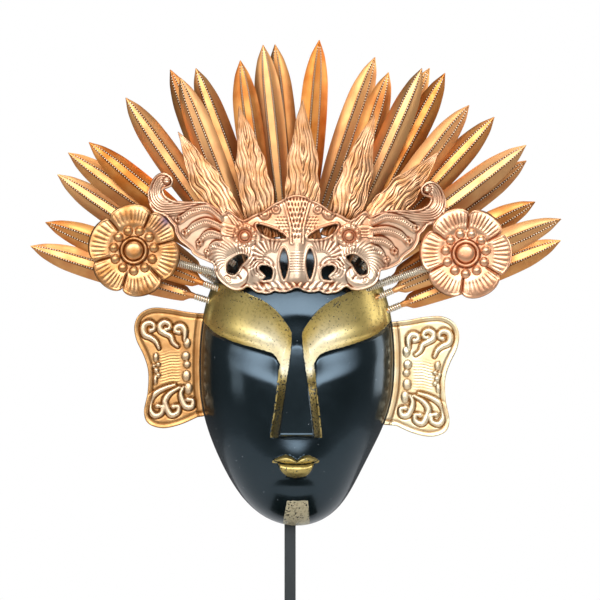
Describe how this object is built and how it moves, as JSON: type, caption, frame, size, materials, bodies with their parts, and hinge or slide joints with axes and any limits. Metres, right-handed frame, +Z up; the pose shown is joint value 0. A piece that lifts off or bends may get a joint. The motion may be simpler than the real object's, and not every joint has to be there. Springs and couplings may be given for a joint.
{
  "type": "wooden mask",
  "caption": "Stylised carved wooden face mask with a pierced metal diadem, a fan of folded metal feathers, spring-held flowers and ear plates, upright on a rod and foot.",
  "frame": {"origin": "centre of the underside of the stand's foot", "axes": "+Z up along the rod, the face looks along -Y, +X to the right as the face is seen from the front"},
  "size_m": [0.3764, 0.1, 0.4397],
  "materials": {
    "black_lacquered_wood": "satin black lacquer with gold leaf on eye planes, nose sides, lips and chin",
    "black_painted_iron": "satin black paint",
    "orange_copper": "folded sheet with rows of punched dots, warm orange-copper lacquer",
    "pale_copper": "chased and pierced sheet, pale pinkish copper with darker recesses",
    "spring_wire": "bright coiled wire"
  },
  "bodies": {
    "root": {"diadem": "pale_copper", "ear_left": "pale_copper", "ear_right": "pale_copper", "feather_01": "orange_copper", "feather_02": "orange_copper", "feather_03": "orange_copper", "feather_04": "orange_copper", "feather_05": "orange_copper", "feather_06": "orange_copper", "feather_07": "orange_copper", "feather_08": "orange_copper", "feather_09": "orange_copper", "feather_10": "orange_copper", "feather_11": "orange_copper", "feather_12": "orange_copper", "feather_13": "orange_copper", "feather_14": "orange_copper", "feather_15": "orange_copper", "feather_16": "orange_copper", "feather_17": "orange_copper", "feather_18": "orange_copper", "feather_19": "orange_copper", "feather_20": "orange_copper", "feather_21": "orange_copper", "feather_22": "orange_copper", "feather_23": "orange_copper", "feather_24": "orange_copper", "feather_25": "orange_copper", "flower_left": "pale_copper", "flower_right": "pale_copper", "flower_spring_left": "spring_wire", "flower_spring_right": "spring_wire", "leaf_1": "pale_copper", "leaf_2": "pale_copper", "leaf_3": "pale_copper", "leaf_4": "pale_copper", "leaf_5": "pale_copper", "stand_foot": "black_painted_iron", "stand_rod": "black_painted_iron", "wooden_mask": "black_lacquered_wood"}
  },
  "joints": []
}
